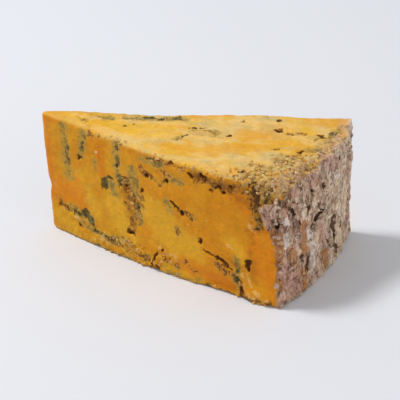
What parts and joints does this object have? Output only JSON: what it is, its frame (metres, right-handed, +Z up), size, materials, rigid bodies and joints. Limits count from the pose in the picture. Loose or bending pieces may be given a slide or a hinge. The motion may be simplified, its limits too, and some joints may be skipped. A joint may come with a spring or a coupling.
{
  "type": "blue cheese wedge",
  "caption": "Wedge of orange blue-veined cheese with crumbly cut faces, a narrow tip, a rough curved rind and a flat base to rest on.",
  "frame": {"origin": "middle of the wedge's bounding box, on the flat base that it rests on", "axes": "+X from the narrow tip to the rind, +Y towards the longer cut face, +Z up through the thickness"},
  "size_m": [0.1002, 0.053, 0.0449],
  "materials": {
    "cheese": "orange paste marbled with olive and blue-green mould, slightly moist on the cuts; dry pinkish-tan rind with white and brown mottling"
  },
  "bodies": {
    "root": {"cheese_wedge": "cheese"}
  },
  "joints": []
}
